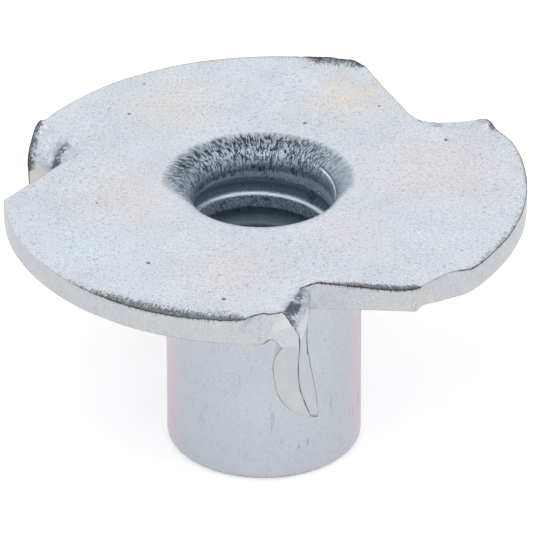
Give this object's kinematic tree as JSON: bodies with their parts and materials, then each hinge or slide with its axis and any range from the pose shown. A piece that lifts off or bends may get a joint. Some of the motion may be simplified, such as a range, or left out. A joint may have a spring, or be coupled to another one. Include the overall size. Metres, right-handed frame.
{
  "type": "tee nut",
  "caption": "Pronged sheet-metal nut: a round flange with folded prongs and a drawn, internally threaded barrel, pressed into wood to give it a machine-screw thread.",
  "frame": {"origin": "centre of the barrel's end, on the barrel's axis", "axes": "+Z along the barrel's axis, from its end up to the flange"},
  "size_m": [0.019, 0.019, 0.0105],
  "materials": {
    "zinc_plated_steel": "bright zinc plating on pressed steel sheet, satin"
  },
  "bodies": {
    "root": {"tee_nut": "zinc_plated_steel"}
  },
  "joints": []
}
